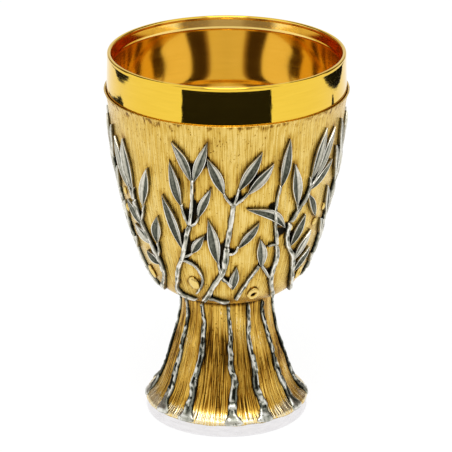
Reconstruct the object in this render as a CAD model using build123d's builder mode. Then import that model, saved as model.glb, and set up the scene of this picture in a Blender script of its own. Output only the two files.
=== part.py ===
from build123d import *

import math
import os

# Communion chalice. Millimetres, +Z up, origin at the centre of the foot's resting face.
# Angles round the chalice are in degrees: 0 is the front (-Y) and they grow towards +X.

# Driving dimensions
HEIGHT = 180.0  # foot to lip
RIM_Z = 162.0  # top edge of the calyx, where the cup's polished band starts
WAIST_Z = 62.0  # where the calyx stands on the foot
RING_H = 7.0  # height of the silver foot ring
RING_R = 38.6
LIP_R = 55.6  # outside of the cup at the lip
BAND_R = 56.0  # outside of the cup's band at its foot
RIM_R = 57.3  # outside of the calyx rim
WAIST_R = 21.5
LEAF_T = 1.6  # how far the olive sprigs stand out of the calyx
RIB_T = 1.2  # how far the branches stand out of the foot

# Threaded fixing, M6
ROD_R = 2.95
NUT_BORE_R = 3.02
NUT_FLATS = 10.0
NUT_H = 5.0
WASHER_R = 9.0
WASHER_H = 1.2
SPRING_WASHER_R = 5.9
SPRING_WASHER_H = 1.6
ROD_END_Z = 41.2

# Seats inside
BOSS_R = 9.0
CUP_FLOOR_Z = 90.0  # underside of the cup, where the boss is brazed on
CALYX_FLOOR_Z = 66.5  # inside of the calyx, where the boss stands
SPIGOT_R = 12.0
SPIGOT_H = 4.0
SPIGOT_GAP = 0.1
WEB_Z = 54.0  # underside of the web across the foot's neck, where the washer bears
PIN_R = 1.0
PIN_OFFSET = 8.0

# Outlines as (radius, height)
CALYX_WALL = [
    (WAIST_R, WAIST_Z), (31.5, 66.5), (37.3, 75), (43, 90), (48.5, 110), (52.5, 130), (55, 150),
    (55.6, 156),
]
CALYX_INSIDE = [
    (17, CALYX_FLOOR_Z), (29, 69.4), (35.3, 76.5), (41.3, 90), (46.9, 110), (51, 130), (53.5, 150),
]
CUP_WALL = [
    (BOSS_R, CUP_FLOOR_Z), (16.5, 92.5), (23.5, 99.5), (29.7, 108.7), (37.1, 118.7), (44.1, 129),
    (49.9, 138.6), (52.6, 145.6), (53.0, 152),
]
FOOT_WALL = [
    (WAIST_R, WAIST_Z), (21.2, 55), (22.3, 46), (25.1, 35), (28.2, 25), (31.2, 16.5), (37.4, RING_H),
]
FOOT_INSIDE = [(18.2, WEB_Z), (19.9, 45), (22.6, 35), (25.7, 25), (28.8, 16.5)]
CUP_T = 0.9
LIP_ROUND = 0.9  # radius of the rounding at the lip

# Olive sprigs on the calyx. Each has a place that it faces, woody stems with their widths at root and tip,
# and leaves as (root, tip, bulge to the left, bulge to the right), looking from the root to the tip.
SPRIGS = {
    "far_left": {
        "facing": -80,
        "stems": [
            ([(-70.5, 66.2), (-74, 69.5), (-78, 75), (-80.5, 83), (-80, 92), (-81.5, 101),
              (-82, 109)], 2.8, 2.2),
            ([(-82, 109), (-80.5, 117), (-81, 125), (-80, 132)], 2.2, 1.7),
        ],
        "leaves": [
            ((-80.2, 130.5), (-85.5, 151), 2.0, 2.2),
            ((-79.8, 130.5), (-73, 149.5), 2.0, 2.0),
            ((-81, 119), (-88.5, 136), 2.1, 2.1),
            ((-81, 115), (-73.2, 129), 2.0, 2.0),
            ((-81.8, 104), (-89, 120), 2.1, 2.1),
            ((-81.2, 99), (-73, 111.5), 2.1, 2.0),
            ((-80.3, 90), (-89.5, 102), 2.1, 2.1),
            ((-80.2, 85), (-71.2, 93.5), 2.0, 1.8),
        ],
    },
    "left": {
        "facing": -55,
        "stems": [
            ([(-61, 68), (-56, 71), (-50, 75.5), (-46, 82), (-47, 89), (-51, 97),
              (-55, 106), (-57.5, 117)], 2.8, 1.8),
            ([(-47, 89), (-44.5, 93), (-44, 98)], 1.6, 1.2),
            ([(-55, 106), (-51.5, 110.5), (-49.3, 116)], 1.6, 1.2),
            ([(-57.5, 116), (-57, 119.5), (-56.2, 123)], 1.6, 1.4),
            ([(-57.5, 116), (-59.5, 120), (-61, 123)], 1.6, 1.4),
        ],
        "leaves": [
            ((-49.5, 115), (-42.3, 136.5), 2.2, 2.2),
            ((-44, 97), (-39.8, 112.5), 2.5, 1.9),
            ((-56.3, 121.5), (-60, 146.5), 3.0, 2.4),
            ((-60.5, 121.5), (-69.5, 145), 2.0, 2.3),
            ((-54.5, 104), (-65.5, 114.5), 2.2, 2.2),
            ((-50.5, 95), (-63.5, 102.5), 2.3, 2.3),
            ((-46.5, 85), (-58.5, 89.5), 1.9, 2.1),
        ],
    },
    "left_centre": {
        "facing": -25,
        "stems": [
            ([(-24.5, 67.6), (-30.5, 68.2), (-36, 69.7), (-38.7, 72.6), (-36.8, 76), (-34.2, 80.8),
              (-31.3, 86.5), (-27, 93), (-24.5, 99), (-20.5, 110.5)], 2.3, 2.2),
            ([(-20.5, 110.5), (-18.5, 118), (-17.5, 126), (-16.8, 135)], 2.2, 1.7),
            ([(-20.5, 110.5), (-22.3, 115.5), (-23.5, 122)], 1.7, 1.2),
            ([(-20.5, 110.5), (-17, 112.3), (-14.4, 116.5)], 1.7, 1.1),
            ([(-27, 93), (-23.5, 94.3), (-19.8, 96.3)], 1.7, 1.1),
            ([(-30.5, 88), (-27.5, 90.8), (-22.5, 90.4), (-17.5, 86.6), (-15.8, 81), (-18.6, 75.8),
              (-23.5, 71.6)], 1.6, 1.1),
        ],
        "leaves": [
            ((-17.2, 134), (-26.5, 153), 1.3, 3.1),
            ((-16.2, 134), (-9, 154.2), 2.1, 2.1),
            ((-23.4, 120.5), (-28.3, 142.5), 2.6, 2.2),
            ((-14.9, 115.5), (-7.6, 131.5), 2.0, 1.5),
            ((-26.4, 97.5), (-34.3, 125), 2.3, 2.8),
            ((-20.6, 95.9), (-12.2, 106.3), 2.0, 1.6),
        ],
    },
    "centre": {
        "facing": 0,
        "stems": [
            ([(-19.3, 67.8), (-15.5, 70), (-11, 75.2), (-6.3, 81), (-2.6, 85.8), (-0.8, 92),
              (0, 100)], 2.8, 2.8),
            ([(-15.5, 69.7), (-11, 69.9), (-5.4, 68.4), (-0.6, 67.6), (2.4, 67.7)], 1.6, 1.2),
            ([(0, 100), (1.2, 107), (2.3, 114), (3, 119), (3.5, 123.5)], 2.8, 2.4),
            ([(3.4, 122.5), (1, 125), (-1.8, 129.5)], 1.7, 1.2),
            ([(3.5, 122.5), (4.6, 126), (6.1, 131.5)], 1.7, 1.2),
            ([(3.6, 122.5), (7.5, 125.7), (10.9, 128.9)], 1.7, 1.2),
            ([(-0.3, 97), (3.5, 96.8), (6.5, 100.3)], 1.7, 1.2),
            ([(-2.6, 84.5), (-4.2, 87.5), (-5, 92.5)], 1.7, 1.2),
            ([(-3.5, 82.5), (0.5, 80.5), (4.2, 77)], 2.0, 2.0),
        ],
        "leaves": [
            ((-1.2, 128.3), (-9.2, 146.5), 1.8, 2.6),
            ((5.7, 130), (17, 148.8), 2.4, 2.4),
            ((10, 128), (23, 142.5), 1.8, 2.7),
            ((6.6, 99.7), (17.4, 113), 1.6, 2.3),
            ((-4.9, 91), (-9.7, 115), 2.2, 2.5),
            ((4, 76), (6, 89), 2.0, 1.7),
        ],
    },
    "right_centre": {
        "facing": 28,
        "stems": [
            ([(38.5, 68), (36.3, 71), (33.5, 74.5), (30.8, 79), (30.6, 85),
              (31.5, 92), (30, 98.5)], 2.8, 2.2),
            ([(30, 98.5), (28.5, 104), (27, 110), (26, 117), (26.3, 124), (27.6, 131)], 2.2, 1.2),
            ([(30.9, 80), (27.5, 82.5), (24.8, 85.5), (21.6, 88.8)], 1.7, 1.4),
            ([(30, 98.8), (27, 99.8), (23.9, 98.8)], 1.5, 1.1),
            ([(6.7, 68.9), (9, 73), (11.3, 76.5), (14.2, 81), (17.5, 85.4), (20.5, 88.8)], 2.2, 1.4),
        ],
        "leaves": [
            ((33.4, 107.5), (10, 120.6), -0.7, 5.1),
            ((27.4, 129.5), (31.1, 153.3), 1.9, 2.2),
            ((21.6, 88), (18.6, 104), 1.6, 2.6),
        ],
    },
    "right": {
        "facing": 47,
        "stems": [
            ([(68, 66.5), (58, 70), (51, 76.5), (47, 84), (43, 91.5), (38.5, 96.5),
              (36, 103), (36.6, 109.5)], 2.8, 2.1),
            ([(36.6, 109.5), (40.5, 115), (44.8, 121), (46.8, 127.5)], 2.1, 1.6),
            ([(46.6, 126), (46.2, 129), (46.6, 131)], 1.5, 1.2),
            ([(46.6, 126), (49.5, 128.5), (51, 131)], 1.5, 1.2),
            ([(40.5, 115), (39.8, 117), (39, 119.5)], 1.4, 1.1),
        ],
        "leaves": [
            ((46.3, 129.5), (55, 153.3), 2.4, 2.0),
            ((50, 130.2), (62.8, 151.6), 1.6, 2.4),
            ((46.5, 124.5), (63.5, 135.5), 1.4, 2.0),
            ((39.2, 118), (34.6, 140.3), 2.2, 2.4),
            ((39.6, 96.5), (47, 111.8), 2.0, 2.2),
            ((45.5, 87.5), (56, 101.5), 2.1, 2.1),
            ((49.5, 80), (61, 91), 2.1, 2.1),
            ((46, 122.5), (57, 108), 1.6, 1.6),
        ],
    },
    "far_right": {
        "facing": 78,
        "stems": [
            ([(95, 66.5), (87, 70), (81, 77), (77.5, 86), (75.5, 95), (74.5, 104)], 2.8, 2.3),
            ([(74.5, 104), (75.5, 113), (77, 122), (77.5, 132)], 2.3, 1.7),
        ],
        "leaves": [
            ((77.2, 130.5), (71.5, 153), 2.2, 2.2),
            ((77.8, 130.5), (86, 152), 2.2, 2.2),
            ((76.8, 120), (67.5, 141), 2.2, 2.3),
            ((76.8, 118), (87.5, 134), 2.2, 2.2),
            ((74.8, 103), (65, 121.5), 2.3, 2.2),
            ((74.8, 101), (86, 116.5), 2.2, 2.3),
            ((75.7, 93.5), (66, 104.5), 2.0, 2.2),
            ((77.3, 86), (88.5, 97.5), 2.2, 2.2),
            ((80, 78.5), (71, 84.5), 1.8, 1.8),
        ],
    },
}

# Branches down the foot: their centre lines as (angle, height), from the ring up to the waist.
BRANCHES = [
    [(-52, 7), (-57.5, 14), (-58.5, 22), (-57, 30), (-59.5, 38), (-57, 46), (-57.5, 53), (-63, 60.5)],
    [(-30, 7), (-32, 15), (-31.5, 25), (-28.5, 33), (-28.5, 45), (-30.5, 54), (-31.5, 61)],
    [(5, 7), (5.5, 15), (6.5, 24), (4.5, 34), (5, 44), (3.5, 52), (3, 61)],
    [(28.5, 7), (30, 17), (28.5, 26), (29.5, 33), (26, 41), (27.5, 48), (28.5, 61)],
    [(61, 7), (62, 15), (59, 25), (57, 33), (56, 42), (52, 50), (51.5, 60.5)],
    [(92, 7), (88, 17), (90, 28), (86, 38), (88, 50), (84, 61)],
]
BRANCH_ROOT_W = 5.4  # width at the ring
BRANCH_TOP_W = 2.2  # width at the waist


def save(piece, name):
    """Label a finished piece and write its STEP."""
    piece.part.label = name
    export_step(piece.part, f"parts/{name}.step")


def outline(points, push=0.0):
    """A smooth curve through points, each moved outwards by push."""
    return Spline(*[(r + push, z) for r, z in points])


def radius_on(points):
    """The outline's radius as a function of height, read along its curve."""
    with BuildLine(mode=Mode.PRIVATE) as curve:
        outline(points)
    steps = [curve.line @ (i / 240) for i in range(241)]
    steps.sort(key=lambda p: p.Y)

    def radius(z):
        for low, high in zip(steps, steps[1:]):
            if low.Y <= z <= high.Y:
                return low.X + (high.X - low.X) * (z - low.Y) / max(high.Y - low.Y, 1e-9)
        return steps[0].X if z < steps[0].Y else steps[-1].X

    return radius


def facing_plane(angle):
    """An upright plane through the axis that faces this angle, with X round the chalice and Y up."""
    a = math.radians(angle)
    outwards = (math.sin(a), -math.cos(a), 0)
    return Plane(origin=(0, 0, 0), x_dir=(math.cos(a), math.sin(a), 0), z_dir=outwards)


def seen_from(facing, place, radius):
    """Where a place on the wall, as (angle, height), lies in the plane that faces an angle."""
    angle, z = place
    return Vector(radius(z) * math.sin(math.radians(angle - facing)), z)


def strip(points, width_start, width_end):
    """A face that follows points, as wide as stated at its two ends."""
    left, right = [], []
    last = len(points) - 1
    for i, p in enumerate(points):
        along = (points[min(i + 1, last)] - points[max(i - 1, 0)]).normalized()
        across = Vector(-along.Y, along.X) * (width_start + (width_end - width_start) * i / last) / 2
        left.append(p + across)
        right.append(p - across)
    with BuildLine() as edge:
        Polyline(*left, *reversed(right), close=True)
    make_face(edge.edges())


def blade(root, tip, left, right):
    """A pointed leaf between two arcs."""
    along = (tip - root).normalized()
    across = Vector(-along.Y, along.X)
    middle = (root + tip) / 2
    with BuildLine() as edge:
        ThreePointArc(root, middle + across * left, tip)
        ThreePointArc(tip, middle - across * right, root)
    make_face(edge.edges())


def skin(points, thickness):
    """The closed layer of a given thickness over an outline, all the way round."""
    with BuildPart() as layer:
        with BuildSketch(Plane.XZ):
            with BuildLine():
                inner = outline(points)
                outer = outline(points, thickness)
                Line(inner @ 0, outer @ 0)
                Line(inner @ 1, outer @ 1)
            make_face()
        revolve(axis=Axis.Z)
    return layer.part


def cup():
    """Spun cup: a thin bowl, with a thick polished band above the calyx and a bevelled, rounded lip."""
    lip_z = HEIGHT - LIP_ROUND
    inside = [(r - CUP_T, z + CUP_T) for r, z in CUP_WALL[1:-1]]
    inside += [(52.3, 153), (52.5, 165), (52.8, 174)]
    with BuildPart() as piece:
        with BuildSketch(Plane.XZ):
            with BuildLine():
                under = Line((0, CUP_FLOOR_Z), CUP_WALL[0])
                wall = Spline(*CUP_WALL, (53.1, 158.8))
                shoulder = (BAND_R - 0.4, 161)
                Polyline(wall @ 1, (53.3, 160.2), shoulder, (BAND_R, 161.4), (LIP_R, lip_z))
                ThreePointArc((LIP_R, lip_z), (LIP_R - LIP_ROUND, HEIGHT), (LIP_R - 2 * LIP_ROUND, lip_z))
                Line((LIP_R - 2 * LIP_ROUND, lip_z), inside[-1])
                bowl = Spline((BOSS_R, CUP_FLOOR_Z + CUP_T), *inside)
                Line(bowl @ 0, (0, CUP_FLOOR_Z + CUP_T))
                Line((0, CUP_FLOOR_Z + CUP_T), under @ 0)
            make_face()
        revolve(axis=Axis.Z)
    save(piece, "cup")


def cup_boss():
    """Turned boss brazed under the cup, tapped for the tie rod."""
    with BuildPart() as piece:
        with Locations((0, 0, CALYX_FLOOR_Z)):
            Cylinder(BOSS_R, CUP_FLOOR_Z - CALYX_FLOOR_Z, align=(Align.CENTER, Align.CENTER, Align.MIN))
        with Locations((0, 0, CALYX_FLOOR_Z)):
            Cylinder(ROD_R, 6, align=(Align.CENTER, Align.CENTER, Align.MIN), mode=Mode.SUBTRACT)
    save(piece, "cup_boss")


def tie_rod():
    """Threaded rod from the boss down through the calyx and the neck of the foot."""
    with BuildPart() as piece:
        with BuildSketch(Plane.XY.offset(ROD_END_Z)):
            Circle(ROD_R)
        extrude(amount=CALYX_FLOOR_Z + 6 - ROD_END_Z)
        chamfer(piece.edges().group_by(Axis.Z)[0], 0.6)
    save(piece, "tie_rod")


def calyx():
    """Cast bowl that holds the cup, with a spigot below and a rabbet for the cup's band at its rim."""
    rabbet_r = BAND_R + 0.35
    spigot_z = WAIST_Z - SPIGOT_H
    with BuildPart() as piece:
        with BuildSketch(Plane.XZ):
            with BuildLine():
                wall = outline(CALYX_WALL)
                edge = [(56.2, 159.2), (RIM_R, RIM_Z)]
                flare = Spline(wall @ 1, *edge, tangents=[wall % 1, (0.4, 1)])
                Polyline(flare @ 1, (rabbet_r, RIM_Z), (rabbet_r, 160.5), (54.6, 158.2), (53.9, 154))
                hollow = Spline(*CALYX_INSIDE, (53.9, 154))
                Polyline(hollow @ 0, (0, CALYX_FLOOR_Z), (0, spigot_z), (SPIGOT_R, spigot_z))
                Polyline((SPIGOT_R, spigot_z), (SPIGOT_R, WAIST_Z), wall @ 0)
            make_face()
        revolve(axis=Axis.Z)
        with Locations((0, 0, CALYX_FLOOR_Z)):
            Hole(ROD_R + 0.4, CALYX_FLOOR_Z - spigot_z)
        with Locations((PIN_OFFSET, 0, spigot_z)):
            Cylinder(PIN_R + 0.35, 2.8, align=(Align.CENTER, Align.CENTER, Align.MIN), mode=Mode.SUBTRACT)
    save(piece, "calyx")


def foot():
    """Cast trumpet foot: hollow below, with a web across its neck and a socket above it for the calyx."""
    socket_z = WAIST_Z - SPIGOT_H - SPIGOT_GAP
    with BuildPart() as piece:
        with BuildSketch(Plane.XZ):
            with BuildLine():
                wall = outline(FOOT_WALL)
                Polyline(wall @ 1, (35, RING_H), (34, 10.2), FOOT_INSIDE[-1])
                hollow = outline(FOOT_INSIDE)
                Polyline(hollow @ 0, (0, WEB_Z), (0, socket_z), (SPIGOT_R + SPIGOT_GAP, socket_z))
                Polyline((SPIGOT_R + SPIGOT_GAP, socket_z), (SPIGOT_R + SPIGOT_GAP, WAIST_Z), wall @ 0)
            make_face()
        revolve(axis=Axis.Z)
        with Locations((0, 0, socket_z)):
            Hole(ROD_R + 0.45, socket_z - WEB_Z)
        with Locations((PIN_OFFSET, 0, socket_z)):
            Hole(PIN_R, 3)
    save(piece, "foot")


def locating_pin():
    """Dowel pressed into the web, which keeps the calyx from turning on the foot."""
    with BuildPart() as piece:
        with BuildSketch(Plane.XY.offset(WAIST_Z - SPIGOT_H - SPIGOT_GAP - 3)):
            with Locations((PIN_OFFSET, 0)):
                Circle(PIN_R)
        extrude(amount=5.4)
        chamfer(piece.edges().group_by(Axis.Z)[-1], 0.3)
    save(piece, "locating_pin")


def foot_ring():
    """Silver ring that the foot is brazed on to, with a lip that centres it."""
    with BuildPart() as piece:
        with BuildSketch(Plane.XZ):
            with BuildLine():
                Polyline(
                    (33, 0), (RING_R, 0), (RING_R, RING_H),
                    (34.9, RING_H), (34.3, RING_H + 1.6), (33, RING_H + 1.6),
                    close=True,
                )
            make_face()
        revolve(axis=Axis.Z)
        outer = piece.edges().filter_by(GeomType.CIRCLE).sort_by(SortBy.RADIUS)[-2:]
        fillet(outer.sort_by(Axis.Z)[0], 1.4)
        outer = piece.edges().filter_by(GeomType.CIRCLE).sort_by(Axis.Z)
        fillet([e for e in outer if e.radius > RING_R - 0.01 and e.center().Z > RING_H - 0.01], 0.5)
    save(piece, "foot_ring")


def washer():
    """Flat washer under the web."""
    with BuildPart() as piece:
        with BuildSketch(Plane.XY.offset(WEB_Z - WASHER_H)):
            Circle(WASHER_R)
            Circle(ROD_R + 0.3, mode=Mode.SUBTRACT)
        extrude(amount=WASHER_H)
        chamfer(piece.edges().group_by(Axis.Z)[0].sort_by(SortBy.RADIUS)[-1], 0.3)
    save(piece, "washer")


def spring_washer():
    """Split lock washer, closed up flat as it is under a tight nut."""
    with BuildPart() as piece:
        with BuildSketch(Plane.XY.offset(WEB_Z - WASHER_H - SPRING_WASHER_H)):
            Circle(SPRING_WASHER_R)
            Circle(ROD_R + 0.25, mode=Mode.SUBTRACT)
            with Locations(Location((4.6, 0), 15)):
                Rectangle(6, 0.9, mode=Mode.SUBTRACT)
        extrude(amount=SPRING_WASHER_H)
    save(piece, "spring_washer")


def nut():
    """Hexagon nut with its corners turned off."""
    bottom = WEB_Z - WASHER_H - SPRING_WASHER_H - NUT_H
    with BuildPart() as piece:
        with BuildSketch(Plane.XY.offset(bottom)):
            RegularPolygon(NUT_FLATS / 2, 6, major_radius=False)
            Circle(NUT_BORE_R, mode=Mode.SUBTRACT)
        extrude(amount=NUT_H)
        corner_r = NUT_FLATS / 2 / math.cos(math.radians(30))
        with BuildSketch(Plane.XY.offset(bottom)) as turned:
            Circle(corner_r)
        extrude(turned.sketch, amount=NUT_H, mode=Mode.INTERSECT)
        with BuildSketch(Plane.XZ):
            with BuildLine():
                Polyline(
                    (corner_r + 1, bottom), (corner_r - 0.7, bottom), (corner_r + 1, bottom + 0.98),
                    close=True,
                )
            make_face()
        revolve(axis=Axis.Z, mode=Mode.SUBTRACT)
    save(piece, "nut")


def sprig(design, turn, number, layer, radius):
    """One cast olive sprig, cut from the layer over the calyx wall."""
    facing = design["facing"]

    def place(p):
        return seen_from(facing, p, radius)

    with BuildPart() as piece:
        with BuildSketch(facing_plane(facing)):
            for points, start, end in design["stems"]:
                strip([place(p) for p in points], start, end)
            for root, tip, left, right in design["leaves"]:
                blade(place(root), place(tip), left, right)
        extrude(amount=RIM_R + 5)
        add(layer, mode=Mode.INTERSECT)
    with BuildPart() as turned:
        add(piece.part, rotation=(0, 0, turn))
    save(turned, f"sprig_{number:02d}")


def branch(line, turn, number, layer, radius):
    """One branch down the foot, cut from the layer over the foot's wall."""
    facing = line[len(line) // 2][0]
    with BuildPart() as piece:
        with BuildSketch(facing_plane(facing)):
            strip([seen_from(facing, p, radius) for p in line], BRANCH_ROOT_W, BRANCH_TOP_W)
        extrude(amount=RING_R + 5)
        add(layer, mode=Mode.INTERSECT)
    with BuildPart() as turned:
        add(piece.part, rotation=(0, 0, turn))
    save(turned, f"foot_branch_{number:02d}")


def sprigs():
    """The sprig designs, each used twice, half a turn apart."""
    layer = skin(CALYX_WALL, LEAF_T)
    wall = radius_on(CALYX_WALL)
    number = 0
    for turn in (0, 180):
        for design in SPRIGS.values():
            number += 1
            sprig(design, turn, number, layer, lambda z: wall(z) + LEAF_T)


def branches():
    """The branch lines, each used twice, half a turn apart."""
    layer = skin(FOOT_WALL, RIB_T)
    wall = radius_on(FOOT_WALL)
    number = 0
    for turn in (0, 180):
        for line in BRANCHES:
            number += 1
            branch(line, turn, number, layer, lambda z: wall(z) + RIB_T)


os.makedirs("parts", exist_ok=True)
cup()
cup_boss()
tie_rod()
calyx()
foot()
locating_pin()
foot_ring()
washer()
spring_washer()
nut()
sprigs()
branches()
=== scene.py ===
import math

import bpy
import numpy as np
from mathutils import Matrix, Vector, kdtree, noise


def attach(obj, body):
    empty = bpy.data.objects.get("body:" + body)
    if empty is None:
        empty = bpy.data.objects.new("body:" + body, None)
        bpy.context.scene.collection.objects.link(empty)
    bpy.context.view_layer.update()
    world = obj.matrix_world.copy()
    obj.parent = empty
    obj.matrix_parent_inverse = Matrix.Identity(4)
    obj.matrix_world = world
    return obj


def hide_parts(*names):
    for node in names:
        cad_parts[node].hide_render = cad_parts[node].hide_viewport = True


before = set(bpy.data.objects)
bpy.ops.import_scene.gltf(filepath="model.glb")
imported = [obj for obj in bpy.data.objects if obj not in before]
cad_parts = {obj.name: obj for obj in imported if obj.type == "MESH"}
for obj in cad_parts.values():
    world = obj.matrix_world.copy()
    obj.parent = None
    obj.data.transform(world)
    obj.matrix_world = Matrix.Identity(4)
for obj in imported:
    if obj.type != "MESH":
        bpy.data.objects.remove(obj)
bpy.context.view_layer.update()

# Communion chalice. Shapes are worked out in millimetres and turned into metres when a mesh is made.
# A place on a wall is (angle, height): the angle is in degrees, 0 at the front (-Y), growing towards +X.
MM = 0.001

LIP_Z = 180.0
LIP_R = 55.6
LIP_ROUND = 0.9  # radius of the lip's rounding
BEVEL_Z = LIP_Z - 6  # where the bevel inside the lip starts
BAND_R = 56.0  # the polished band, where it meets the calyx
RIM_Z = 162.0  # the calyx's rim
RIM_R = 57.3
WAIST_Z = 62.0  # where the calyx stands on the foot
WAIST_R = 21.5
SPIGOT_R = 12.0  # the calyx's spigot in the foot's socket
SPIGOT_H = 4.0
BORE_R = 3.4  # the hole that the rod goes through
CALYX_FLOOR_Z = 66.5
WEB_Z = 54.0  # underside of the web across the foot's neck
RING_R = 38.6
RING_INSIDE_R = 33.0
RING_H = 7.0
RING_LEDGE_Z = 8.6  # top of the ring's ledge inside the foot

CALYX_OUTLINE = [
    (WAIST_R, WAIST_Z), (31.5, 66.5), (37.3, 75), (43, 90), (48.5, 110), (52.5, 130), (55, 150), (55.6, 156),
]
CALYX_FLARE = [(55.6, 156), (56.1, 158.9), (RIM_R - 0.1, RIM_Z - 0.2)]
CALYX_HOLLOW = [
    (53.9, 154), (53.5, 150), (51, 130), (46.9, 110), (41.3, 90), (35.3, 76.5), (29, 69.4),
    (17, CALYX_FLOOR_Z),
]
HEM_Z = 6.3  # where the foot's hem and its branches end on the ring
FOOT_OUTLINE = [
    (38.95, HEM_Z), (38.6, 7.4), (36.6, 9.2), (33.6, 12.4), (31.2, 16.5), (28.2, 25), (25.1, 35), (22.3, 46),
    (21.2, 55), (WAIST_R, WAIST_Z),
]
FOOT_HOLLOW = [(18.2, WEB_Z), (19.9, 45), (22.6, 35), (25.7, 25), (28.8, 16.5)]
CUP_FLOOR_Z = 90.0
CUP_T = 0.9
CUP_OUTSIDE = [
    (53.4, 158.8), (53.25, 152), (52.6, 145.6), (49.9, 138.6), (44.1, 129), (37.1, 118.7), (29.7, 108.7),
    (23.5, 99.5), (16.5, 92.5), (9, CUP_FLOOR_Z),
]
CUP_INSIDE = [(r - CUP_T, z + CUP_T) for r, z in reversed(CUP_OUTSIDE[3:])]
CUP_INSIDE += [(51.9, 146.5), (52.75, 154), (52.78, 164), (52.8, BEVEL_Z)]

# How finely the turned pieces are divided: columns round the axis, and rows up the walls
SIDES = 720
CUP_SIDES = 448
RING_SIDES = 360
CALYX_ROWS, FLARE_ROWS, CALYX_HOLLOW_ROWS = 94, 6, 12
FOOT_ROWS, FOOT_HOLLOW_ROWS = 100, 14
CUP_INSIDE_ROWS, CUP_OUTSIDE_ROWS = 117, 40

LEAF_RIM = 1.75  # how far a leaf's edge stands out of the calyx
LEAF_VALLEY = 0.75  # how far its middle does

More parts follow.
